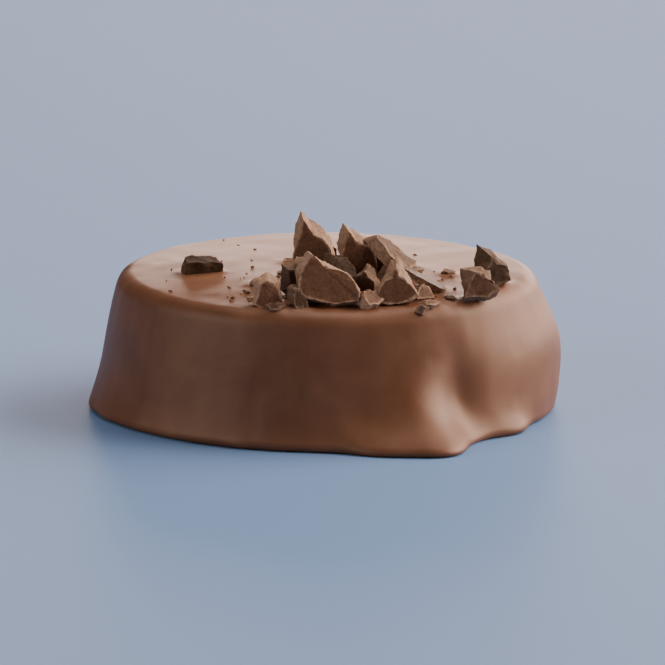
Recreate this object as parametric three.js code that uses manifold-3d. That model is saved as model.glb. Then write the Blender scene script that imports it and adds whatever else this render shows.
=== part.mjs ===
// A round soft caramel coated in milk chocolate, with broken flakes of dark chocolate stuck on its top.
// It is one piece: the flakes sank into the coat while it was wet, so they are fused with it here.
//
// Millimetres, +Z up. The origin is on the flat underside, under the middle of the top. -Y is the front,
// where the coat has run into a small toe on the right, and +X is the right as seen from the front.
import * as THREE from "three";
import { mergeVertices } from "three/addons/utils/BufferGeometryUtils.js";
import Module from "manifold-3d";

const wasm = await Module();
wasm.setup();

// ---- Driving sizes of the coated caramel -------------------------------------------------------------
const WIDTH = 33.6; // across the foot, left to right
const DEPTH_SHARE = 0.91; // front to back, as a share of the width: the piece is slightly oval
const HEIGHT = 10.4; // table to the middle of the top
const DOME = 0.35; // how far the top falls from its middle to where the rim starts to turn over
const RIM_RADIUS = 1.4; // rounding of the rim between the top and the side
const LEAN = THREE.MathUtils.degToRad(13); // the side leans in by this much as it rises
const TOP_WIDTH = 29.8; // across the rim, at its widest
const FOOT_HEIGHT = 0.6; // the foot's widest line, where the wet coat settled on the tray
const FOOT_ROUND = 0.55; // how far the foot's lower edge rounds in towards the underside
const HOLLOW = { in: 0.45, up: 1.3 }; // pulls the side in just above the foot
const FULLNESS = { out: 0.87, down: 3.6 }; // pushes it out below the rim
const TRUE_UNDERSIDE = 0.45; // the underside is round out to this share of its half width
const FREE_UNDERSIDE = 0.85; // and takes on the side's swellings from this one

// The rim has sunk along the front: where it has, in degrees round the body, how widely, how far down, and
// the shares of the top's width between which the top beside it slopes down to it.
const SAG = { at: -105, wide: 70, down: 0.45, from: 0.18, to: 0.48 };

const AROUND = 96; // segments round the body
const STEPS = { underside: 3, foot: 4, side: 9, rim: 5, top: 6 }; // segments along its section

// The middle of the rim's rounding.
const rimCentre = {
  r: TOP_WIDTH / 2 - RIM_RADIUS * Math.cos(LEAN),
  z: HEIGHT - DOME - RIM_RADIUS,
};

// Swellings and hollows that the coat set into: where they lie round the body, how wide they are, how far
// they stand out, the height at which they are strongest, and how far up and down they reach.
const SWELLINGS = [
  { at: -60, wide: 9.5, out: 2.4, height: 0, reach: 1.8 }, // the toe, at the front on the right
  { at: -65, wide: 9, out: 0.9, height: 2.2, reach: 2.2 }, // the ridge that slants up from it
  { at: -74, wide: 11, out: 1.7, height: 0, reach: 1.5 }, // the straight edge that runs out to it
  { at: -51, wide: 6.5, out: -0.62, height: 2.9, reach: 3.1 }, // the crease beside it
  { at: -138, wide: 28, out: -0.85, height: 2, reach: 12 }, // the flatter front on the left
  { at: -6, wide: 28, out: -0.7, height: -0.3, reach: 1.4 }, // the tucked-in foot on the right
  { at: -4, wide: 34, out: 0.95, height: 5.3, reach: 3 }, // the fuller side above that
  { at: -34, wide: 6, out: 0.5, height: 0.1, reach: 1.1 }, // where the tucked-in part begins
  { at: 180, wide: 30, out: 0.3, height: 0.6, reach: 2.2 }, // the spread foot on the left
  { at: 178, wide: 36, out: 0.3, height: 7.5, reach: 5 }, // the fuller side above it
  { at: 62, wide: 13, out: 0.8, height: 0.6, reach: 2.0 }, // two small runs at the back
  { at: 124, wide: 10, out: 0.6, height: 0.7, reach: 2.6 },
  { at: 96, wide: 16, out: -0.35, height: 3.4, reach: 3.6 },
];

// Slow waves all round the body: how many of them, how high they are and where they start, in radians.
const WAVES = [
  { count: 3, out: 0.12, start: 0.8 },
  { count: 5, out: 0.08, start: -1.1 },
];

const bell = (distance, reach) => Math.exp(-((distance / reach) ** 2));

// The shortest way round from one angle to another, in degrees.
const turnBetween = (from, to) => ((((to - from) % 360) + 540) % 360) - 180;

// How far the side stands out of true at an angle round the body and a height.
function swell(angle, z) {
  const here = THREE.MathUtils.radToDeg(angle);
  let out = 0;
  for (const wave of WAVES) out += wave.out * Math.cos(wave.count * angle + wave.start);
  for (const s of SWELLINGS)
    out += s.out * bell(turnBetween(s.at, here), s.wide) * bell(z - s.height, s.reach);
  return out;
}

// How far the rim and the top beside it have sunk at a point.
function sag(x, y) {
  const r = Math.hypot(x, y / DEPTH_SHARE);
  const here = THREE.MathUtils.radToDeg(Math.atan2(y, x));
  const slope = THREE.MathUtils.smoothstep(r, SAG.from * TOP_WIDTH, SAG.to * TOP_WIDTH);
  return SAG.down * bell(turnBetween(SAG.at, here), SAG.wide) * slope;
}

// The height of a true top, round and level, at a distance from its middle.
function trueHeight(r) {
  if (r <= rimCentre.r) return HEIGHT - DOME * (r / rimCentre.r) ** 2;
  const past = Math.min(r - rimCentre.r, RIM_RADIUS * Math.cos(LEAN));
  return rimCentre.z + Math.sqrt(RIM_RADIUS ** 2 - past ** 2);
}

// The height of the coat over a point of the top, before the flakes.
const topHeight = (x, y) => trueHeight(Math.hypot(x, y / DEPTH_SHARE)) - sag(x, y);

// ---- The body: half a section turned round the axis, then set out of true --------------------------
function bodyGeometry() {
  const half = WIDTH / 2;
  const shoulder = new THREE.Vector2(
    rimCentre.r + RIM_RADIUS * Math.cos(LEAN),
    rimCentre.z + RIM_RADIUS * Math.sin(LEAN),
  );
  const footEdge = new THREE.Vector2(half - FOOT_ROUND, 0);
  const footLine = new THREE.Vector2(half, FOOT_HEIGHT);
  const underside = new THREE.LineCurve(new THREE.Vector2(0, 0), footEdge);
  const foot = new THREE.QuadraticBezierCurve(
    footEdge,
    new THREE.Vector2(half, 0),
    footLine,
  );
  // Hollow just above the foot, then nearly straight up to the shoulder.
  const side = new THREE.CubicBezierCurve(
    footLine,
    new THREE.Vector2(half - HOLLOW.in, FOOT_HEIGHT + HOLLOW.up),
    new THREE.Vector2(shoulder.x + FULLNESS.out, shoulder.y - FULLNESS.down),
    shoulder,
  );
  const section = [
    ...underside.getPoints(STEPS.underside),
    ...foot.getPoints(STEPS.foot).slice(1),
    ...side.getPoints(STEPS.side).slice(1),
  ];
  for (let i = 1; i <= STEPS.rim; i++) {
    const turn = THREE.MathUtils.lerp(LEAN, Math.PI / 2, i / STEPS.rim);
    section.push(
      new THREE.Vector2(
        rimCentre.r + RIM_RADIUS * Math.cos(turn),
        rimCentre.z + RIM_RADIUS * Math.sin(turn),
      ),
    );
  }
  for (let i = STEPS.top - 1; i >= 0; i--) {
    const r = (rimCentre.r * i) / STEPS.top;
    section.push(new THREE.Vector2(r, trueHeight(r)));
  }

  // LatheGeometry turns about Y, so the body is then stood up on Z.
  const body = new THREE.LatheGeometry(section, AROUND);
  body.rotateX(Math.PI / 2);
  const position = body.getAttribute("position");
  for (let i = 0; i < position.count; i++) {
    const x = position.getX(i);
    const y = position.getY(i);
    const z = position.getZ(i);
    const r = Math.hypot(x, y);
    const angle = Math.atan2(y * DEPTH_SHARE, x);
    const free = THREE.MathUtils.smoothstep(r, TRUE_UNDERSIDE * half, FREE_UNDERSIDE * half);
    const out = swell(angle, z) * free;
    const sunk = sag(x, y * DEPTH_SHARE) * THREE.MathUtils.smoothstep(z, FOOT_HEIGHT, rimCentre.z);
    position.setXYZ(
      i,
      x + out * Math.cos(angle),
      y * DEPTH_SHARE + out * Math.sin(angle),
      z - sunk,
    );
  }
  return body;
}

// ---- The flakes ------------------------------------------------------------------------------------
// Broken chips of dark chocolate, most of them in a heap on the front half. Each row gives the middle of a
// flake (x, y), its length, width and thickness, how much narrower its upper end is, how much shorter its
// right side is, the slant of its upper break, then in degrees how far it leans up from flat and the way
// it is turned, how far it is lifted by what it lies on, and which of the random breaks its outline has.
const FLAKES = [
  [-8.9, -1.8, 3.3, 2.4, 1.1, 0.1, 0.1, 0.3, 10, 20, 0, 1], // the lone chip on the left
  [-4.1, -10.6, 2.5, 3.0, 0.7, 0.2, 0, 0.8, 76, 12, 0.1, 2], // two left of the heap
  [-3.5, -11.7, 2.4, 1.6, 0.6, 0.2, 0, 0.8, 24, -10, 0, 3],
  [0.1, -10.0, 5.8, 5.6, 1.0, 0, 0.6, 1, 58, -4, 0.1, 9], // the large one at its front
  [3.1, -11.0, 2.8, 2.4, 0.8, 0.3, 0, 0.8, 34, 40, 0.1, 5],
  [4.95, -10.2, 5.2, 4.1, 1.0, 0.85, 0, 0.9, 64, 0, 0.1, 6], // the pointed one beside it
  [7.3, -10.9, 2.2, 1.6, 0.7, 0.3, 0, 0.8, 30, 40, 0, 7],
  [6.8, -11.6, 1.4, 1.1, 0.6, 0.3, 0, 0.8, 20, 90, 0, 8],
  [-0.9, -4.0, 3.8, 6.3, 0.9, 0, 0.45, 0.9, 72, -8, 0, 9], // the tallest, at the back
  [2.2, -5.2, 3.4, 4.9, 0.8, 0, 0.5, 0.9, 84, 8, 0.6, 9],
  [4.6, -5.6, 3.0, 4.4, 0.9, 0.2, 0, 0.5, 38, 62, 1.1, 11], // the one that slopes down over the others
  [6.9, -7.4, 2.6, 3.8, 0.5, 0.1, 0, 0.4, 29, 90, 0.15, 12],
  [6.9, -9.2, 2.4, 2.2, 0.7, 0.3, 0, 0.8, 40, 30, 0.1, 13],
  [10.95, -8.6, 3.5, 3.7, 1.3, 0.2, 0.2, 0.8, 56, 10, 0, 14], // the pair on the right
  [11.9, -5.2, 3.2, 3.9, 1.3, 0.1, 0.3, 0.8, 80, 24, 0.3, 15],
  [-1.0, -7.2, 4.0, 4.0, 0.9, 0.1, 0.1, 0.8, 44, 22, 0.2, 16], // inside the heap
  [2.9, -8.0, 2.8, 2.9, 0.7, 0.1, 0.3, 0.8, 74, -24, 0, 17],
  [-1.9, -11.2, 2.0, 2.6, 0.7, 0.2, 0, 0.8, 58, 14, 0, 18],
  [1.0, -6.2, 3.0, 3.4, 0.8, 0.2, 0.2, 0.8, 50, 20, 0.4, 19],
  [5.4, -5.4, 3.4, 3.0, 1.6, 0.1, 0, 0.3, 22, 60, 0, 26],
  [3.6, -2.9, 3.4, 3.6, 0.9, 0.2, 0.1, 0.6, 52, 150, 0, 20], // behind it
  [-0.4, -2.0, 3.2, 3.4, 0.8, 0.2, 0, 0.6, 56, 188, 0, 21],
  [8.6, -2.4, 1.8, 1.3, 0.6, 0.2, 0, 0.6, 8, 40, 0, 22], // loose bits round about
  [-5.0, -5.6, 1.6, 1.1, 0.6, 0.2, 0, 0.6, 6, 75, 0, 23],
  [-2.6, 1.0, 1.5, 1.1, 0.5, 0.2, 0, 0.6, 8, 10, 0, 24],
  [8.9, -9.4, 1.5, 1.1, 0.6, 0.2, 0, 0.6, 14, -20, 0, 25],
  [-2.2, -9.0, 2.6, 3.5, 0.9, 0.2, 0, 0.4, 88, 26, 0, 47], // the dark one at the heap's left end
].map(([x, y, long, wide, thick, nip, slope, slant, lean, turn, lift, cut]) => {
  return { x, y, long, wide, thick, nip, slope, slant, lean, turn, lift, cut };
});
const SUNK = 0.35; // how deep the lowest corner of a flake sits in the coat

// How the chips broke. From here to BOW_LEVEL the values are shares of a chip's own size or of what their
// comment names, and from UPPER_SLANT to RAGGED shares of its thickness.
const SQUARENESS = 6; // an exponent: 2 would make the outlines oval
const STRAY = 0.75; // how far a corner strays from its even place, as a share of the way to the next
const SHORT = 0.18; // how far it may fall short of the outline
const KINK = 0.14; // how far a side may bend between two corners
const BOW = 0.12; // how far a chip may be bowed along its length
const CROSS_BOW = 0.5; // how much of that it is bowed across
const BOW_LEVEL = 0.4; // keeps a bowed chip at its height
const UPPER_SLANT = 0.08; // the least slant of a side towards the upper face
const LOWER_SLANT = 0.2; // the most slant of a side towards the lower face
const RAGGED = 0.12; // how unevenly both slants run
const THINNED = 0.15; // how much thinner a chip may be at a corner, as a share of its thickness
const LEAST_FACE = 0.3; // no slant makes a face smaller than this share of the outline

// A repeatable draw from 0 to 1 for a chip's break and a count. Each use has counts of its own.
const COUNTS = { corners: 1, bow: 2, angle: 10, reach: 30, kink: 50, upper: 70, lower: 90, thin: 110 };
const HASH = { cut: 12.9898, count: 78.233, spread: 43758.5453 };
function draw(cut, count) {
  const wave = Math.sin(cut * HASH.cut + count * HASH.count) * HASH.spread;
  return wave - Math.floor(wave);
}

// The broken outline of a flake: six or eight corners on a squared oval, with a kink between each two.
function outlineOf({ long, wide, nip, slope, cut }) {
  const corners = draw(cut, COUNTS.corners) < 0.5 ? 6 : 8;
  const points = [];
  for (let i = 0; i < corners; i++) {
    const stray = STRAY * (draw(cut, COUNTS.angle + i) - 0.5);
    const angle = (2 * Math.PI * (i + stray)) / corners;
    const c = Math.cos(angle);
    const s = Math.sin(angle);
    const oval = (Math.abs(c) ** SQUARENESS + Math.abs(s) ** SQUARENESS) ** (-1 / SQUARENESS);
    const reach = oval * (1 - SHORT * draw(cut, COUNTS.reach + i));
    const v = (reach * s + 1) * (1 - (slope * (reach * c + 1)) / 2) - 1;
    const u = reach * c * (1 - (nip * (v + 1)) / 2);
    points.push(new THREE.Vector2((u * long) / 2, (v * wide) / 2));
  }
  return points.flatMap((point, i) => {
    const side = points[(i + 1) % corners].clone().sub(point);
    const kink = KINK * (draw(cut, COUNTS.kink + i) - 0.5);
    const middle = side.clone().multiplyScalar(0.5).add(point);
    return [point, middle.add(new THREE.Vector2(side.y, -side.x).multiplyScalar(kink))];
  });
}

// One flake, flat and centred: a drum drawn out to the broken outline. Its sides slant inwards by uneven
// amounts, most at the upper end, and it is slightly bowed.
function flakeGeometry(flake) {
  const { long, wide, thick, slant, cut } = flake;
  const outline = outlineOf(flake);
  const around = outline.length;
  const bow = BOW * (draw(cut, COUNTS.bow) - 0.5);
  const shard = new THREE.CylinderGeometry(1, 1, 1, around, 1);
  shard.rotateX(Math.PI / 2);
  const position = shard.getAttribute("position");
  for (let i = 0; i < position.count; i++) {
    const turn = Math.atan2(position.getY(i), position.getX(i)) / (2 * Math.PI);
    const spot = (Math.round(turn * around) + around) % around;
    const isUpper = position.getZ(i) > 0;
    const isMiddle = Math.hypot(position.getX(i), position.getY(i)) < 0.5;
    const corner = outline[spot];
    const facing = (1 + corner.y / corner.length()) / 2;
    const inset = isUpper
      ? UPPER_SLANT + slant * facing + RAGGED * draw(cut, COUNTS.upper + spot)
      : LOWER_SLANT * (1 - facing) + RAGGED * draw(cut, COUNTS.lower + spot);
    const share = isMiddle ? 0 : Math.max(LEAST_FACE, 1 - (inset * thick) / corner.length());
    const x = corner.x * share;
    const y = corner.y * share;
    const along = bow * long * (((2 * x) / long) ** 2 - BOW_LEVEL);
    const across = CROSS_BOW * bow * wide * (((2 * y) / wide) ** 2 - BOW_LEVEL);
    const thinned = isUpper && !isMiddle ? 1 - THINNED * draw(cut, COUNTS.thin + spot) : 1;
    position.setXYZ(i, x, y, (isUpper ? 1 : -1) * (thick / 2) * thinned + along + across);
  }
  return shard;
}

// Leans and turns a flake and sets it down with its lowest corner a little way into the coat.
function laidFlake(flake) {
  const shard = flakeGeometry(flake);
  shard.rotateX(THREE.MathUtils.degToRad(flake.lean));
  shard.rotateZ(THREE.MathUtils.degToRad(flake.turn));
  shard.translate(flake.x, flake.y, 0);
  const position = shard.getAttribute("position");
  let drop = Infinity;
  for (let i = 0; i < position.count; i++) {
    const under = topHeight(position.getX(i), position.getY(i));
    drop = Math.min(drop, position.getZ(i) - under);
  }
  shard.translate(0, 0, flake.lift - drop - SUNK);
  return shard;
}

// ---- Joining ---------------------------------------------------------------------------------------
const WELD = 1e-3; // corners nearer than this are one

function solidOf(geometry) {
  const bare = new THREE.BufferGeometry();
  bare.setAttribute("position", geometry.getAttribute("position"));
  if (geometry.index) bare.setIndex(geometry.index);
  const merged = mergeVertices(bare, WELD);
  return new wasm.Manifold(
    new wasm.Mesh({
      numProp: 3,
      vertProperties: merged.getAttribute("position").array,
      triVerts: new Uint32Array(merged.index.array),
    }),
  );
}

function geometryOf(solid) {
  const mesh = solid.getMesh();
  const geometry = new THREE.BufferGeometry();
  geometry.setAttribute("position", new THREE.BufferAttribute(mesh.vertProperties, 3));
  geometry.setIndex(new THREE.BufferAttribute(mesh.triVerts, 1));
  geometry.computeVertexNormals();
  return geometry;
}

let joined = solidOf(bodyGeometry());
for (const flake of FLAKES) joined = joined.add(solidOf(laidFlake(flake)));

const caramel = new THREE.Mesh(
  geometryOf(joined),
  new THREE.MeshStandardMaterial({ color: "#6e452f", roughness: 0.4, metalness: 0 }),
);
caramel.name = "chocolate_caramel";

const piece = new THREE.Group();
piece.add(caramel);

export default piece;
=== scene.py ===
# A round soft caramel in a coat of milk chocolate, with broken flakes of dark chocolate on its top.
import math
import random

import bmesh
import bpy
from mathutils import Matrix, Vector, noise
from mathutils.bvhtree import BVHTree


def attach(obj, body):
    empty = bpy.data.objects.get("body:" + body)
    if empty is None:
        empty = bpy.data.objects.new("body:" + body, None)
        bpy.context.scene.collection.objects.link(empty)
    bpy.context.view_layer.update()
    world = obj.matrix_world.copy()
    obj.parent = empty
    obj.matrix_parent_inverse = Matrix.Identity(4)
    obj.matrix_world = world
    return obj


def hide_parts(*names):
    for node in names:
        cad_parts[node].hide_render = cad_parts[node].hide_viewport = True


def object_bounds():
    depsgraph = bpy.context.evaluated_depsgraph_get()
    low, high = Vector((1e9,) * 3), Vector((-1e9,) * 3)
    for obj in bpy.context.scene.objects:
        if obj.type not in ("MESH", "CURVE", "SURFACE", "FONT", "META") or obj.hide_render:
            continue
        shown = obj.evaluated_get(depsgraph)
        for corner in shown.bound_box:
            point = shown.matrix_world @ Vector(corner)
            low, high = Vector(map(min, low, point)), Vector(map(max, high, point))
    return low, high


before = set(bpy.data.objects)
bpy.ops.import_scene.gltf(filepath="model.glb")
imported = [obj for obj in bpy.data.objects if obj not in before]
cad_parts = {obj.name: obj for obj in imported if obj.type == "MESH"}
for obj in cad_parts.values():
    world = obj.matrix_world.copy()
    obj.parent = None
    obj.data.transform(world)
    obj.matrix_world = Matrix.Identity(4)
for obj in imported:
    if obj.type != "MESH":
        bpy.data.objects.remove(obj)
cad_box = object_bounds()

# ---- The milk chocolate coat ---------------------------------------------------------------------
# The soft caramel ran through a curtain of milk chocolate and set on a tray. The coat is one satin
# skin, with a flat underside, a thin foot that spread before it set, a tight rim and a nearly flat
# top. It is modelled as a ring, drawn up the side ring by ring and closed by two grids of faces.
MM = 0.001
FOOT_WIDTH = 33.6 * MM  # across the foot, left to right
DEPTH_SHARE = 0.91  # front to back, as a share of the width
BODY_HEIGHT = 10.4 * MM  # table to the middle of the top
DOME = 0.35 * MM  # how far the top falls from its middle to where the rim starts
RIM_RADIUS = 1.4 * MM
SIDE_LEAN = math.radians(13)
TOP_WIDTH = 29.8 * MM
LIP_HEIGHT = 0.34 * MM  # the foot's widest line
LIP_ROUND = 0.5 * MM  # how far the lip's lower edge rounds in
LIP_CORNER = 0.08 * MM  # how far inside the widest line the corner lies that is rounded off
LIP_STEP = 0.14 * MM  # how far the lip stands out under the side
LIP_RISE = 0.5 * MM  # from its widest line to where the side starts
LIP_FULL = 0.26 * MM  # how far up it stays full before it turns in
HOLLOW_IN, HOLLOW_UP = 0.42 * MM, 1.2 * MM  # pulls the side in just above the lip
FULL_OUT, FULL_DOWN = 0.87 * MM, 3.6 * MM  # pushes it out below the rim
TOP_EDGE = 0.9 * MM  # from the rim's rounding in to the last ring
UNDER_STEPS, LIP_STEPS, SIDE_STEPS, RIM_STEPS = 4, 3, 12, 6  # rings in each part of the section
AROUND = 112  # corners in each ring
FINER = 2  # how many times each face is then split in four
TABLE = cad_box[0].z

rim_r = TOP_WIDTH / 2 - RIM_RADIUS * math.cos(SIDE_LEAN)
rim_z = BODY_HEIGHT - DOME - RIM_RADIUS
half_foot = FOOT_WIDTH / 2


def bezier(points, steps):
    """Points along a Bezier curve, leaving out its start."""
    line = []
    for step in range(1, steps + 1):
        left = [Vector(p) for p in points]
        while len(left) > 1:
            left = [a.lerp(b, step / steps) for a, b in zip(left, left[1:])]
        line.append(tuple(left[0]))
    return line


# The section from the edge of the underside up to where the top begins: pairs of radius and height.
shoulder = (rim_r + RIM_RADIUS * math.cos(SIDE_LEAN), rim_z + RIM_RADIUS * math.sin(SIDE_LEAN))
lip = (half_foot, LIP_HEIGHT)
lip_top = (half_foot - LIP_STEP, LIP_HEIGHT + LIP_RISE)
hollow = (lip_top[0] - HOLLOW_IN, lip_top[1] + HOLLOW_UP)
fullness = (shoulder[0] + FULL_OUT, shoulder[1] - FULL_DOWN)
section = [(half_foot - LIP_ROUND, 0.0)]
section += bezier([section[0], (half_foot - LIP_CORNER, 0.0), lip], UNDER_STEPS)
section += bezier([lip, (half_foot, LIP_HEIGHT + LIP_FULL), lip_top], LIP_STEPS)
section += bezier([lip_top, hollow, fullness, shoulder], SIDE_STEPS)
for step in range(1, RIM_STEPS + 1):
    turn = SIDE_LEAN + (math.pi / 2 - SIDE_LEAN) * step / RIM_STEPS
    section.append((rim_r + RIM_RADIUS * math.cos(turn), rim_z + RIM_RADIUS * math.sin(turn)))
section.append((rim_r - TOP_EDGE, rim_z + RIM_RADIUS))

bpy.ops.object.select_all(action="DESELECT")
bpy.ops.mesh.primitive_circle_add(vertices=AROUND, radius=section[0][0], location=(0, 0, TABLE))
coat = bpy.context.object
coat.name = "milk_chocolate_coat"
bpy.ops.object.mode_set(mode="EDIT")
bpy.ops.mesh.select_all(action="SELECT")
for (inner_r, inner_z), (next_r, next_z) in zip(section, section[1:]):
    bpy.ops.mesh.extrude_edges_move(TRANSFORM_OT_translate={"value": (0, 0, next_z - inner_z)})
    grow = next_r / inner_r
    bpy.ops.transform.resize(value=(grow, grow, 1), center_override=(0, 0, TABLE))
bpy.ops.mesh.fill_grid(span=AROUND // 4)
bpy.ops.mesh.select_all(action="DESELECT")
bpy.ops.mesh.select_mode(type="EDGE")
bpy.ops.mesh.select_non_manifold()
bpy.ops.mesh.fill_grid(span=AROUND // 4)
bpy.ops.mesh.select_all(action="SELECT")
bpy.ops.mesh.normals_make_consistent(inside=False)
bpy.ops.object.mode_set(mode="OBJECT")
smoother = coat.modifiers.new("finer", "SUBSURF")
smoother.levels = smoother.render_levels = FINER
bpy.ops.object.modifier_apply(modifier=smoother.name)

# Swellings and hollows that the coat set into: where they lie round the body and how wide they are,
# in degrees, then how far they stand out, their height and how far up and down they reach, in
# millimetres.
SWELLINGS = [
    (-60, 9.5, 2.4, 0.0, 1.8),  # the toe, at the front on the right
    (-65, 9, 0.9, 2.2, 2.2),  # the ridge that slants up from it
    (-74, 11, 1.7, 0.0, 1.5),  # the straight edge that runs out to it
    (-51, 6.5, -0.62, 2.9, 3.1),  # the crease beside it
    (-138, 28, -0.85, 2.0, 12.0),  # the flatter front on the left
    (-6, 28, -0.7, -0.3, 1.4),  # the tucked-in foot on the right
    (-4, 34, 0.95, 5.3, 3.0),  # the fuller side above that
    (-34, 6, 0.5, 0.1, 1.1),  # where the tucked-in part begins
    (180, 30, 0.3, 0.6, 2.2),  # the spread foot on the left
    (178, 36, 0.3, 7.5, 5.0),  # the fuller side above it
    (62, 13, 0.8, 0.6, 2.0),  # two small runs at the back
    (124, 10, 0.6, 0.7, 2.6),
    (96, 16, -0.35, 3.4, 3.6),
]
# Slow waves all round: how many, how high in millimetres and where they start, in radians.
WAVES = [(3, 0.12, 0.8), (5, 0.08, -1.1)]
SAG_AT, SAG_WIDE, SAG_DOWN = -105, 70, 0.45 * MM  # where the rim has sunk, how widely and how far
SAG_FROM, SAG_TO = 0.18, 0.48  # the top slopes down to it between these shares of the top's width
TRUE_UNDERSIDE = 0.45  # the underside is round out to this share of its half width
FREE_UNDERSIDE = 0.85  # and takes on the side's swellings from this one


def bell(distance, reach):
    return math.exp(-((distance / reach) ** 2))


def smooth(value, low, high):
    """0 below low, 1 above high and an even change between."""
    share = min(max((value - low) / (high - low), 0), 1)
    return share * share * (3 - 2 * share)


def turn_between(start, angle):
    """The shortest way round from a number of degrees to an angle in radians, in degrees."""
    return (math.degrees(angle) - start + 180) % 360 - 180


def swell(angle, z):
    """How far the wall stands out of true, in metres."""
    out = sum(high * math.cos(count * angle + start) for count, high, start in WAVES)
    for at, wide, amount, height, reach in SWELLINGS:
        out += amount * bell(turn_between(at, angle), wide) * bell(z / MM - height, reach)
    return out * MM


def sag(x, y):
    """How far the rim and the top beside it have sunk."""
    to_rim = smooth(math.hypot(x, y / DEPTH_SHARE), SAG_FROM * TOP_WIDTH, SAG_TO * TOP_WIDTH)
    return SAG_DOWN * bell(turn_between(SAG_AT, math.atan2(y, x)), SAG_WIDE) * to_rim


def top_height(x, y):
    """The height of the top over a point, before any flake."""
    r = math.hypot(x, y / DEPTH_SHARE)
    if r <= rim_r:
        return BODY_HEIGHT - DOME * (r / rim_r) ** 2 - sag(x, y)
    past = min(r - rim_r, RIM_RADIUS * math.cos(SIDE_LEAN))
    return rim_z + math.sqrt(RIM_RADIUS**2 - past**2) - sag(x, y)


RIPPLE = 0.085 * MM  # how far the set surface is from smooth
# Ripples on the wall: how high they are, as a share of that, how closely they follow each other
# round it, how much they change with each millimetre of height, and where in the noise they start.
RUNS = (1.1, 3.6, 0.09, (0, 0, 0))
FINE_RUNS = (0.5, 11, 0.25, (5, 1, 0))
EDGE_WANDER = (1.6, 7, 0, (3, 8, 2))
RUNS_END = (0.3, 0.95)  # the shares of the height between which the runs die out
EDGE_REACH = 0.7 * MM  # how far up the lip's wandering edge is felt
# Ripples on the top: how high they are, as a share of RIPPLE, how long, in millimetres, and where
# they start.
TOP_RIPPLES = [(1.1, 6.5, (0, 0, 0)), (0.5, 2.3, (9, 4, 0))]
TOP_BLEND = 0.7  # the share of the rim's rounding over which they and the dome come in


def ripple(kind, outwards, z):
    """A kind of ripple on the wall, at a direction and a height."""
    high, count, change, start = kind
    at = outwards * count + Vector(start) + Vector((0, 0, z / MM * change))
    return high * RIPPLE * noise.noise(at)


for vertex in coat.data.vertices:
    x, y, z = vertex.co
    r = math.hypot(x, y)
    angle = math.atan2(y * DEPTH_SHARE, x)
    outwards = Vector((math.cos(angle), math.sin(angle), 0))
    out = swell(angle, z)
    # The runs are shallow upright waves. The lip's edge wanders a little as well.
    low = 1 - smooth(z / BODY_HEIGHT, *RUNS_END)
    out += ripple(RUNS, outwards, z) * low
    out += ripple(FINE_RUNS, outwards, z)
    out += ripple(EDGE_WANDER, outwards, z) * bell(z, EDGE_REACH)
    out *= smooth(r, TRUE_UNDERSIDE * half_foot, FREE_UNDERSIDE * half_foot)
    if z > rim_z:
        domed = DOME * (1 - min(r / rim_r, 1) ** 2)
        at = Vector((x, y, 0)) / MM
        for high, length, start in TOP_RIPPLES:
            domed += RIPPLE * high * noise.noise(at / length + Vector(start))
        z += domed * smooth(z, rim_z, rim_z + TOP_BLEND * RIM_RADIUS)
    z -= sag(x, y * DEPTH_SHARE) * smooth(z, LIP_HEIGHT, rim_z)
    vertex.co = (x + out * math.cos(angle), y * DEPTH_SHARE + out * math.sin(angle), z)
bpy.ops.object.shade_smooth()

# Satin milk chocolate: warm brown with faint paler and darker patches, a little light passing in
# under the surface, a gloss that changes from place to place, and a fine pitted skin. The grain is
# a group, because the dark chocolate has it too, at another scale.
grain = bpy.data.node_groups.new("chocolate_grain", "ShaderNodeTree")
grain.interface.new_socket("Position", in_out="INPUT", socket_type="NodeSocketVector")
for name in ("Patches per metre", "Grains per metre"):
    grain.interface.new_socket(name, in_out="INPUT", socket_type="NodeSocketFloat")
for name in ("Patches", "Grains", "Height"):
    grain.interface.new_socket(name, in_out="OUTPUT", socket_type="NodeSocketFloat")
PIT_EDGE = (0.05, 0.22)  # how far from its middle a pit starts to rise and ends, in cells
GRAIN_IN_HEIGHT = 0.35  # how high the grains stand, as a share of a pit's depth


def node(tree, kind, **values):
    """A new node with the given settings and input values."""
    made = tree.nodes.new(kind)
    for name, value in values.items():
        if name in made.inputs:
            made.inputs[name].default_value = value
        else:
            setattr(made, name, value)
    return made


def wire(tree, *ends):
    """Links sockets in pairs: from, to, from, to."""
    for start, end in zip(ends[::2], ends[1::2]):
        tree.links.new(start, end)


given = node(grain, "NodeGroupInput")
put_out = node(grain, "NodeGroupOutput")
patches = node(grain, "ShaderNodeTexNoise", Detail=3.0, Roughness=0.55, Distortion=0.6)
grains = node(grain, "ShaderNodeTexNoise", Detail=4.0, Roughness=0.65)
pits = node(grain, "ShaderNodeTexVoronoi", feature="F1")
pit_depth = node(grain, "ShaderNodeMapRange", interpolation_type="SMOOTHSTEP")
pit_depth.inputs["From Min"].default_value, pit_depth.inputs["From Max"].default_value = PIT_EDGE
pitted = node(grain, "ShaderNodeMath", operation="MULTIPLY_ADD")
pitted.inputs[1].default_value = GRAIN_IN_HEIGHT
wire(
    grain,
    given.outputs["Position"], patches.inputs["Vector"],
    given.outputs["Position"], grains.inputs["Vector"],
    given.outputs["Position"], pits.inputs["Vector"],
    given.outputs["Patches per metre"], patches.inputs["Scale"],
    given.outputs["Grains per metre"], grains.inputs["Scale"],
    given.outputs["Patches per metre"], pits.inputs["Scale"],
    pits.outputs["Distance"], pit_depth.inputs["Value"],
    grains.outputs["Fac"], pitted.inputs[0],
    pit_depth.outputs["Result"], pitted.inputs[2],
    patches.outputs["Fac"], put_out.inputs["Patches"],
    grains.outputs["Fac"], put_out.inputs["Grains"],
    pitted.outputs["Value"], put_out.inputs["Height"],
)


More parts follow.
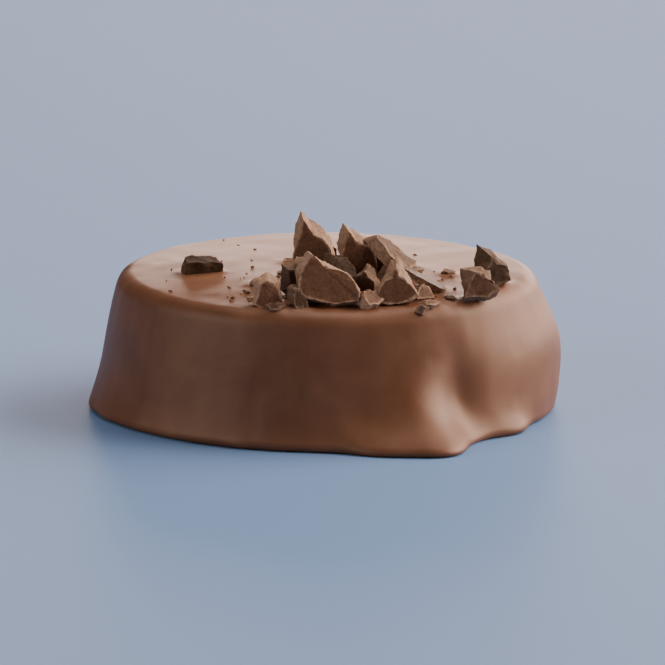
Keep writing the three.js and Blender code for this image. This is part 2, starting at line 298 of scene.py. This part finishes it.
def new_material(name):
    """An empty node material with a Principled shader on its output."""
    made = bpy.data.materials.new(name)
    made.use_nodes = True
    tree = made.node_tree
    tree.nodes.clear()
    shader = node(tree, "ShaderNodeBsdfPrincipled")
    output = node(tree, "ShaderNodeOutputMaterial")
    wire(tree, shader.outputs["BSDF"], output.inputs["Surface"])
    return made, tree, shader


def blended(tree, share, low, high):
    """The output of a ramp from one colour to another, over the middle half of a share."""
    ramp = node(tree, "ShaderNodeValToRGB")
    for end, position, colour in zip(ramp.color_ramp.elements, (0.25, 0.75), (low, high)):
        end.position, end.color = position, (*colour, 1)
    wire(tree, share, ramp.inputs["Fac"])
    return ramp.outputs["Color"]


def ranged(tree, share, ends):
    """The output of a node that turns a share into a value between two ends."""
    spread = node(tree, "ShaderNodeMapRange")
    spread.inputs["To Min"].default_value, spread.inputs["To Max"].default_value = ends
    wire(tree, share, spread.inputs["Value"])
    return spread.outputs["Result"]


def grained(tree, shader, per_metre, strength, depth):
    """The grain, with so many patches and grains to the metre, its height raised on the shader."""
    place = node(tree, "ShaderNodeTexCoord")
    skin = node(tree, "ShaderNodeGroup", node_tree=grain)
    skin.inputs["Patches per metre"].default_value = per_metre[0]
    skin.inputs["Grains per metre"].default_value = per_metre[1]
    relief = node(tree, "ShaderNodeBump", Strength=strength, Distance=depth)
    wire(
        tree,
        place.outputs["Object"], skin.inputs["Position"],
        skin.outputs["Height"], relief.inputs["Height"],
        relief.outputs["Normal"], shader.inputs["Normal"],
    )
    return skin


MILK_DEEP = (0.128, 0.046, 0.021)
MILK_PALE = (0.194, 0.081, 0.042)
MILK_ROUGHNESS = (0.38, 0.52)
milk, tree, shader = new_material("milk_chocolate")
skin = grained(tree, shader, per_metre=(230, 2600), strength=0.4, depth=0.05 * MM)
wire(
    tree,
    blended(tree, skin.outputs["Patches"], MILK_DEEP, MILK_PALE), shader.inputs["Base Color"],
    ranged(tree, skin.outputs["Patches"], MILK_ROUGHNESS), shader.inputs["Roughness"],
)
shader.inputs["IOR"].default_value = 1.48
shader.inputs["Specular Tint"].default_value = (1.0, 0.76, 0.62, 1)
shader.inputs["Subsurface Weight"].default_value = 0.12
shader.inputs["Subsurface Radius"].default_value = (1.0, 0.4, 0.2)
shader.inputs["Subsurface Scale"].default_value = 0.6 * MM
coat.data.materials.append(milk)

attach(coat, "root")
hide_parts("chocolate_caramel")

# ---- The dark chocolate flakes -------------------------------------------------------------------
# Chips chopped off a slab of dark chocolate and dropped on the wet coat, most of them in a heap on
# its front half. Each is a drum drawn out to a broken outline, its sides slanting in by uneven
# amounts, rough where it broke, and set down with its lowest corner in the coat.

# Middle x and y, length, width, thickness, how much narrower the upper end is, how much shorter the
# right side is, the slant of the upper break, then in degrees how far it leans up from flat and the
# way it is turned, how far what it lies on lifts it, and which of the random breaks it has.
FLAKES = [
    (-8.9, -1.8, 3.3, 2.4, 1.1, 0.1, 0.1, 0.3, 10, 20, 0, 1),  # the lone chip on the left
    (-4.1, -10.6, 2.5, 3.0, 0.7, 0.2, 0, 0.8, 76, 12, 0.1, 2),  # two left of the heap
    (-3.5, -11.7, 2.4, 1.6, 0.6, 0.2, 0, 0.8, 24, -10, 0, 3),
    (0.1, -10.0, 5.8, 5.6, 1.0, 0, 0.6, 1, 58, -4, 0.1, 9),  # the large one at its front
    (3.1, -11.0, 2.8, 2.4, 0.8, 0.3, 0, 0.8, 34, 40, 0.1, 5),
    (4.95, -10.2, 5.2, 4.1, 1.0, 0.85, 0, 0.9, 64, 0, 0.1, 6),  # the pointed one beside it
    (7.3, -10.9, 2.2, 1.6, 0.7, 0.3, 0, 0.8, 30, 40, 0, 7),
    (6.8, -11.6, 1.4, 1.1, 0.6, 0.3, 0, 0.8, 20, 90, 0, 8),
    (-0.9, -4.0, 3.8, 6.3, 0.9, 0, 0.45, 0.9, 72, -8, 0, 9),  # the tallest, at the back
    (2.2, -5.2, 3.4, 4.9, 0.8, 0, 0.5, 0.9, 84, 8, 0.6, 9),
    (4.6, -5.6, 3.0, 4.4, 0.9, 0.2, 0, 0.5, 38, 62, 1.1, 11),  # the one sloping down over others
    (6.9, -7.4, 2.6, 3.8, 0.5, 0.1, 0, 0.4, 29, 90, 0.15, 12),
    (6.9, -9.2, 2.4, 2.2, 0.7, 0.3, 0, 0.8, 40, 30, 0.1, 13),
    (10.95, -8.6, 3.5, 3.7, 1.3, 0.2, 0.2, 0.8, 56, 10, 0, 14),  # the pair on the right
    (11.9, -5.2, 3.2, 3.9, 1.3, 0.1, 0.3, 0.8, 80, 24, 0.3, 15),
    (-1.0, -7.2, 4.0, 4.0, 0.9, 0.1, 0.1, 0.8, 44, 22, 0.2, 16),  # inside the heap
    (2.9, -8.0, 2.8, 2.9, 0.7, 0.1, 0.3, 0.8, 74, -24, 0, 17),
    (-1.9, -11.2, 2.0, 2.6, 0.7, 0.2, 0, 0.8, 58, 14, 0, 18),
    (1.0, -6.2, 3.0, 3.4, 0.8, 0.2, 0.2, 0.8, 50, 20, 0.4, 19),
    (5.4, -5.4, 3.4, 3.0, 1.6, 0.1, 0, 0.3, 22, 60, 0, 26),
    (3.6, -2.9, 3.4, 3.6, 0.9, 0.2, 0.1, 0.6, 52, 150, 0, 20),  # behind it
    (-0.4, -2.0, 3.2, 3.4, 0.8, 0.2, 0, 0.6, 56, 188, 0, 21),
    (8.6, -2.4, 1.8, 1.3, 0.6, 0.2, 0, 0.6, 8, 40, 0, 22),  # loose bits round about
    (-5.0, -5.6, 1.6, 1.1, 0.6, 0.2, 0, 0.6, 6, 75, 0, 23),
    (-2.6, 1.0, 1.5, 1.1, 0.5, 0.2, 0, 0.6, 8, 10, 0, 24),
    (8.9, -9.4, 1.5, 1.1, 0.6, 0.2, 0, 0.6, 14, -20, 0, 25),
    # The next flake's dark tone is painted shade, where the large flake's left side lies in shade.
    (-2.2, -9.0, 2.6, 3.5, 0.9, 0.2, 0, 0.4, 88, 26, 0, 47),  # the dark one at the heap's left end
]
SUNK = 0.35 * MM  # how deep the lowest corner of a flake sits in the coat
FINEST_EDGE = 0.24 * MM  # a flake's edges are split until none is longer
WORN_EDGE = 0.22 * MM  # how far in from its broken sides a face is scuffed
ROUGH_BREAK = 0.10 * MM  # how rough the broken sides are
ROUGH_FACE = 0.25  # how rough the faces are, as a share of that
ROUGH_WAVES = [(1, 1.7), (0.55, 4.1), (0.3, 9)]  # how high they are, and how many to a millimetre
NOISE_STEP = 7  # flakes take their roughness from places this many millimetres apart
SHARP = math.radians(35)  # edges sharper than this aren't shaded as round
NO_SHARE = 0.01  # at less than this share of the way out from a face's middle, its edge is far off

# How the chips broke. From here to BOW_LEVEL the values are shares of a chip's own size or of what
# their comment names, and from UPPER_SLANT to RAGGED shares of its thickness.
SQUARENESS = 6  # an exponent: 2 would make the outlines oval
STRAY = 0.75  # how far a corner strays from its even place, as a share of the way to the next
SHORT = 0.18  # how far it may fall short of the outline
KINK = 0.14  # how far a side may bend between two corners
BOW = 0.12  # how far a chip may be bowed along its length
CROSS_BOW = 0.5  # how much of that it is bowed across
BOW_LEVEL = 0.4  # keeps a bowed chip at its height
UPPER_SLANT = 0.08  # the least slant of a side towards the upper face
LOWER_SLANT = 0.2  # the most slant of a side towards the lower face
RAGGED = 0.12  # how unevenly both slants run
THINNED = 0.15  # how much thinner a chip may be at a corner, as a share of its thickness
LEAST_FACE = 0.3  # no slant makes a face smaller than this share of the outline

# Each use of the random draw has counts of its own.
# The count for the tone is chosen so that the lone chip and the pair on the right come out dark, as
# painted shade.
COUNTS = {
    "corners": 1, "bow": 2, "angle": 10, "reach": 30, "kink": 50,
    "upper": 70, "lower": 90, "thin": 110, "tone_and_painted_shade": 338,
}
HASH_CUT, HASH_COUNT, HASH_SPREAD = 12.9898, 78.233, 43758.5453  # these make it jump about


def draw(cut, use, i=0):
    """A repeatable draw from 0 to 1 for a chip's break, a use and a corner."""
    wave = math.sin(cut * HASH_CUT + (COUNTS[use] + i) * HASH_COUNT) * HASH_SPREAD
    return wave - math.floor(wave)


def broken_outline(long, wide, nip, slope, cut):
    """Six or eight corners on a squared oval, with a kink between each two."""
    corners = 6 if draw(cut, "corners") < 0.5 else 8
    points = []
    for i in range(corners):
        angle = 2 * math.pi * (i + STRAY * (draw(cut, "angle", i) - 0.5)) / corners
        c, s = math.cos(angle), math.sin(angle)
        oval = (abs(c) ** SQUARENESS + abs(s) ** SQUARENESS) ** (-1 / SQUARENESS)
        reach = oval * (1 - SHORT * draw(cut, "reach", i))
        v = (reach * s + 1) * (1 - slope * (reach * c + 1) / 2) - 1
        u = reach * c * (1 - nip * (v + 1) / 2)
        points.append(Vector((u * long / 2, v * wide / 2)))
    outline = []
    for i, (point, after) in enumerate(zip(points, points[1:] + points[:1])):
        side = after - point
        kink = KINK * (draw(cut, "kink", i) - 0.5)
        outline += [point, (point + after) / 2 + kink * Vector((side.y, -side.x))]
    return outline


def split_long_edges(piece, finest):
    """Splits the edges of a piece in edit mode until none is longer."""
    while True:
        shape = bmesh.from_edit_mesh(piece.data)
        long_edges = 0
        for edge in shape.edges:
            is_long = edge.calc_length() > finest
            edge.select_set(is_long)
            long_edges += is_long
        bmesh.update_edit_mesh(piece.data)
        if not long_edges:
            return
        bpy.ops.mesh.subdivide(number_cuts=1)
        bpy.ops.mesh.select_all(action="SELECT")
        bpy.ops.mesh.quads_convert_to_tris()
        bpy.ops.mesh.select_all(action="DESELECT")


def chip(long, wide, thick, nip, slope, slant, cut):
    """A flake, flat and centred. Its attribute rim is 1 on its breaks, falling to 0 on its faces."""
    outline = broken_outline(long, wide, nip, slope, cut)
    around = len(outline)
    bow = BOW * (draw(cut, "bow") - 0.5)
    bpy.ops.object.select_all(action="DESELECT")
    bpy.ops.mesh.primitive_cylinder_add(vertices=around, radius=1, depth=1, end_fill_type="TRIFAN")
    flake = bpy.context.object
    bpy.ops.object.mode_set(mode="EDIT")
    bpy.ops.mesh.select_mode(type="EDGE")
    shape = bmesh.from_edit_mesh(flake.data)
    rim = shape.verts.layers.float.new("rim")
    for vertex in shape.verts:
        x, y, z = vertex.co
        spot = round(math.atan2(y, x) / (2 * math.pi) * around) % around
        corner = outline[spot]
        facing = (1 + corner.y / corner.length) / 2
        thinned = 1
        inset = LOWER_SLANT * (1 - facing) + RAGGED * draw(cut, "lower", spot)
        if z > 0:
            inset = UPPER_SLANT + slant * facing + RAGGED * draw(cut, "upper", spot)
            thinned = 1 - THINNED * draw(cut, "thin", spot)
        share = max(LEAST_FACE, 1 - inset * thick / corner.length)
        vertex[rim] = 1.0
        is_middle = math.hypot(x, y) < 0.5
        if is_middle:
            share, thinned, vertex[rim] = 0, 1, 0.0
        x, y = corner * share
        along = bow * long * ((2 * x / long) ** 2 - BOW_LEVEL)
        across = CROSS_BOW * bow * wide * ((2 * y / wide) ** 2 - BOW_LEVEL)
        vertex.co = (x, y, math.copysign(thick / 2, z) * thinned + (along + across))
    bmesh.update_edit_mesh(flake.data)
    bpy.ops.mesh.select_all(action="SELECT")
    bpy.ops.mesh.quads_convert_to_tris()
    split_long_edges(flake, FINEST_EDGE)
    bpy.ops.object.mode_set(mode="OBJECT")
    for vertex, value in zip(flake.data.vertices, flake.data.attributes["rim"].data):
        # The share runs evenly from the middle of a face to its edge, so it gives the way to go.
        share = value.value
        if share < 1:
            to_edge = vertex.co.xy.length * (1 - share) / share if share > NO_SHARE else thick
            value.value = bell(to_edge, WORN_EDGE)
    return flake


def joined(pieces, name):
    """One object made of many."""
    bpy.ops.object.select_all(action="DESELECT")
    for piece in pieces:
        piece.select_set(True)
    bpy.context.view_layer.objects.active = pieces[0]
    bpy.ops.object.join()
    bpy.context.object.name = name
    return bpy.context.object


laid_flakes = []
for number, flake_row in enumerate(FLAKES):
    x, y, long, wide, thick, nip, slope, slant, lean, turn, lift, cut = flake_row
    flake = chip(long * MM, wide * MM, thick * MM, nip, slope, slant, cut)
    laid = (
        Matrix.Translation((x * MM, y * MM, 0))
        @ Matrix.Rotation(math.radians(turn), 4, "Z")
        @ Matrix.Rotation(math.radians(lean), 4, "X")
    )
    flake.data.transform(laid)
    drop = min(v.co.z - top_height(v.co.x, v.co.y) for v in flake.data.vertices)
    rim = flake.data.attributes["rim"].data
    for index, vertex in enumerate(flake.data.vertices):
        at = vertex.co / MM + Vector((0, 0, NOISE_STEP * number))
        rough = sum(high * noise.noise(at * count) for high, count in ROUGH_WAVES)
        share = ROUGH_FACE + (1 - ROUGH_FACE) * rim[index].value
        vertex.co += vertex.normal * ROUGH_BREAK * share * rough
    flake.data.transform(Matrix.Translation((0, 0, lift * MM - drop - SUNK)))
    # Each flake's tone, which for some flakes is painted shade.
    tone_and_painted_shade = flake.data.attributes.new("tone_and_painted_shade", "FLOAT", "POINT")
    tone_and_painted_shade.data.foreach_set("value", [draw(cut, "tone_and_painted_shade")] * len(flake.data.vertices))
    laid_flakes.append(flake)
flakes = joined(laid_flakes, "dark_chocolate_flakes")
bpy.ops.object.shade_smooth_by_angle(angle=SHARP)

# The coat creeps up to each flake.
CREEP_HEIGHT = 0.1 * MM
CREEP_REACH = 0.4 * MM
CREEP_END = 4 * CREEP_REACH  # nothing is left of it here
near_flakes = BVHTree.FromObject(flakes, bpy.context.evaluated_depsgraph_get())
for vertex in coat.data.vertices:
    if vertex.co.z > rim_z:
        distance = near_flakes.find_nearest(vertex.co, CREEP_END)[3]
        if distance is not None:
            vertex.co.z += CREEP_HEIGHT * bell(distance, CREEP_REACH)

# Dark chocolate: nearly black brown and satin on the slab's faces, paler, greyer and dull where it
# broke, with scuffs that run from the breaks unevenly on to the faces. Each flake has its own tone,
# partly random and partly painted shade that darkens the flakes that stand in shade.
DARK_FACE = (0.066, 0.024, 0.011)
DARK_FACE_PALE = (0.155, 0.076, 0.045)
DARK_BREAK = (0.205, 0.105, 0.062)
DARK_BREAK_PALE = (0.42, 0.265, 0.18)
# The flakes' tones multiply their colours and darken some of them as painted shade.
DARK_TONES_AND_SHADE = (0.3, 1.15)  # what the colours of the darkest and the palest flakes are multiplied by
DARK_ROUGHNESS = (0.5, 0.85)  # on the faces and on the breaks
SCUFF_UNEVEN = 1.5  # how much the patches of the grain count beside the rim attribute
SCUFF_EDGE = (1.1, 1.85)  # where their sum passes from a face to a break
dark, tree, shader = new_material("dark_chocolate")
skin = grained(tree, shader, per_metre=(900, 6500), strength=0.6, depth=0.04 * MM)
rim = node(tree, "ShaderNodeAttribute", attribute_name="rim")
tone_and_painted_shade = node(tree, "ShaderNodeAttribute", attribute_name="tone_and_painted_shade")
uneven = node(tree, "ShaderNodeMath", operation="MULTIPLY_ADD")
uneven.inputs[1].default_value = SCUFF_UNEVEN
broken = node(tree, "ShaderNodeMapRange", interpolation_type="SMOOTHSTEP")
broken.inputs["From Min"].default_value, broken.inputs["From Max"].default_value = SCUFF_EDGE
colour = node(tree, "ShaderNodeMix", data_type="RGBA")
toned_and_shaded = node(tree, "ShaderNodeHueSaturation")
wire(
    tree,
    skin.outputs["Patches"], uneven.inputs[0],
    rim.outputs["Fac"], uneven.inputs[2],
    uneven.outputs["Value"], broken.inputs["Value"],
    broken.outputs["Result"], colour.inputs["Factor"],
    blended(tree, skin.outputs["Grains"], DARK_FACE, DARK_FACE_PALE), colour.inputs["A"],
    blended(tree, skin.outputs["Grains"], DARK_BREAK, DARK_BREAK_PALE), colour.inputs["B"],
    ranged(tree, tone_and_painted_shade.outputs["Fac"], DARK_TONES_AND_SHADE), toned_and_shaded.inputs["Value"],
    colour.outputs["Result"], toned_and_shaded.inputs["Color"],
    toned_and_shaded.outputs["Color"], shader.inputs["Base Color"],
    ranged(tree, broken.outputs["Result"], DARK_ROUGHNESS), shader.inputs["Roughness"],
)
shader.inputs["IOR"].default_value = 1.44
shader.inputs["Specular IOR Level"].default_value = 0.3
shader.inputs["Specular Tint"].default_value = (1.0, 0.74, 0.60, 1)
flakes.data.materials.append(dark)

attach(flakes, "root")
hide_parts("chocolate_caramel")

# ---- The crumbs ----------------------------------------------------------------------------------
# Splinters and grit of the same dark chocolate that fell with the flakes and stuck to the wet coat,
# most of them round the heap. They are copies of one small ball with its corners pushed about, each
# turned and drawn out in its own way and set a little into the coat.
CRUMB_COUNT = 90
CRUMB_SEED = 12
BALL_SEED = 3
CRUMB_SIZES = (0.08 * MM, 0.32 * MM)  # the ball's radius, for the smallest and the largest
CRUMB_FALL = 11 * MM  # they are smaller the further they lie from the heap
FEW_LARGE = 2.2  # an exponent: above 1, most crumbs are small
UNEVEN_BALL = 0.45  # how far the ball's corners are pushed about, as a share of its radius
CRUMB_LONG = (0.8, 1.7)  # how much they are drawn out, at least and at most
CRUMB_FLAT = (0.45, 0.9)  # how much they are flattened
CRUMB_LEAN = 0.5  # how far they lean at most, in radians
CRUMB_SUNK = 0.25  # how deep they sit in the coat, as a share of the ball's radius
HEAP_MIDDLE = (2.0 * MM, -7.4 * MM)
HEAP_SPREAD = (5.2 * MM, 3.4 * MM)  # how far the crumbs scatter from there, to the side and back
STRAYS = 0.15  # the share of them that lie anywhere on the top
TOP_END = 0.98  # none lies past this share of the way to the rim's rounding
CLEAR = 2 * BODY_HEIGHT  # above everything

bpy.ops.object.select_all(action="DESELECT")
bpy.ops.mesh.primitive_ico_sphere_add(subdivisions=1, radius=1)
crumb = bpy.context.object
bpy.ops.object.mode_set(mode="EDIT")
bpy.ops.mesh.select_all(action="SELECT")
bpy.ops.transform.vertex_random(offset=UNEVEN_BALL, seed=BALL_SEED)
bpy.ops.object.mode_set(mode="OBJECT")
for name in ("rim", "tone_and_painted_shade"):
    crumb.data.attributes.new(name, "FLOAT", "POINT")
for value in crumb.data.attributes["rim"].data:
    value.value = 1.0

rolls = random.Random(CRUMB_SEED)
coat.data.update()
bpy.context.view_layer.update()
coat_skin = BVHTree.FromObject(coat, bpy.context.evaluated_depsgraph_get())
down = Vector((0, 0, -1))
spots = []
while len(spots) < CRUMB_COUNT:
    if rolls.random() < STRAYS:
        at = [rolls.uniform(-rim_r, rim_r) for side in range(2)]
    else:
        at = [rolls.gauss(middle, spread) for middle, spread in zip(HEAP_MIDDLE, HEAP_SPREAD)]
    above = Vector((*at, CLEAR))
    is_on_top = math.hypot(above.x, above.y / DEPTH_SHARE) < TOP_END * rim_r
    if is_on_top and near_flakes.ray_cast(above, down)[0] is None:
        spots.append(coat_skin.ray_cast(above, down)[0])


def roll(axis, low=0, high=math.tau):
    """A turn about an axis by a random angle."""
    return Matrix.Rotation(rolls.uniform(low, high), 4, axis)


laid_crumbs = []
for spot in spots:
    bpy.ops.object.select_all(action="DESELECT")
    crumb.select_set(True)
    bpy.context.view_layer.objects.active = crumb
    bpy.ops.object.duplicate()
    grit = bpy.context.object
    near = bell((spot.xy - Vector(HEAP_MIDDLE)).length, CRUMB_FALL)
    size = CRUMB_SIZES[0] + (CRUMB_SIZES[1] - CRUMB_SIZES[0]) * near * rolls.random() ** FEW_LARGE
    drawn_out = Matrix.Diagonal((rolls.uniform(*CRUMB_LONG), 1, rolls.uniform(*CRUMB_FLAT), 1))
    turned = roll("Z") @ roll("X", -CRUMB_LEAN, CRUMB_LEAN)
    rolled = roll("Y") @ roll("Z")
    grit.data.transform(turned @ drawn_out @ rolled @ Matrix.Scale(size, 4))
    low = min(vertex.co.z for vertex in grit.data.vertices)
    grit.data.transform(Matrix.Translation(spot - Vector((0, 0, low + CRUMB_SUNK * size))))
    tone_and_painted_shade = [rolls.random()] * len(grit.data.vertices)
    grit.data.attributes["tone_and_painted_shade"].data.foreach_set("value", tone_and_painted_shade)
    laid_crumbs.append(grit)
bpy.data.objects.remove(crumb)
crumbs = joined(laid_crumbs, "flake_crumbs")
crumbs.data.materials.append(dark)

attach(crumbs, "root")
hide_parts("chocolate_caramel")

# ---- Floor, light and camera ---------------------------------------------------------------------
# A wide, nearly matt board in pale blue grey. A large soft lamp stands at the right and a little
# behind, a wide pale card glows behind, and the front is left dim, as in a studio.
FLOOR_WIDTH = 6
bpy.ops.object.select_all(action="DESELECT")
bpy.ops.mesh.primitive_plane_add(size=FLOOR_WIDTH, location=(0, 0, TABLE))
floor = bpy.context.object
floor.name = "floor"
board, tree, shader = new_material("pale_board")
shader.inputs["Base Color"].default_value = (0.160, 0.250, 0.435, 1)
shader.inputs["Roughness"].default_value = 0.5
shader.inputs["IOR"].default_value = 1.1
floor.data.materials.append(board)


def soft_lamp(name, place, size, power, colour):
    """An area lamp aimed at the caramel, unseen by the camera."""
    bpy.ops.object.light_add(type="AREA", location=place)
    lamp = bpy.context.object
    lamp.name = name
    lamp.data.shape = "RECTANGLE"
    lamp.data.size, lamp.data.size_y = size
    lamp.data.energy = power
    lamp.data.color = colour
    lamp.visible_camera = False
    aim = Vector((0, 0, BODY_HEIGHT / 2)) - Vector(place)
    lamp.rotation_euler = aim.to_track_quat("-Z", "Y").to_euler()


# Each lamp's place and size, in metres, its power in watts and its colour.
soft_lamp("key", (0.68, 0.14, 0.38), (0.9, 0.7), 19.0, (1.0, 0.89, 0.79))
soft_lamp("card", (0.30, 0.95, 0.20), (0.9, 0.34), 7.0, (1.0, 0.77, 0.67))
soft_lamp("top", (0.1, 0.2, 0.8), (0.6, 0.6), 3.0, (1.0, 0.98, 0.96))
soft_lamp("fill", (-0.65, -0.3, 0.3), (0.6, 0.5), 2.4, (1.0, 0.93, 0.86))

ROOM_COLOUR = (0.85, 0.79, 0.76, 1)
ROOM_STRENGTH = 0.095
room = bpy.data.worlds.new("room")
bpy.context.scene.world = room
room.use_nodes = True
glow = room.node_tree.nodes["Background"]
glow.inputs["Color"].default_value = ROOM_COLOUR
glow.inputs["Strength"].default_value = ROOM_STRENGTH

ELEVATION = math.radians(12.5)  # how far the camera looks down
DISTANCE = 0.80
LOOK_AT = Vector((0.0005, -0.001, 0.0056))
SENSOR, LENS = 36, 606  # both in millimetres
bpy.ops.object.camera_add()
camera = bpy.context.object
camera.data.sensor_width = SENSOR
camera.data.lens = LENS
camera.location = LOOK_AT + DISTANCE * Vector((0, -math.cos(ELEVATION), math.sin(ELEVATION)))
camera.rotation_euler = (math.pi / 2 - ELEVATION, 0, 0)
bpy.context.scene.camera = camera
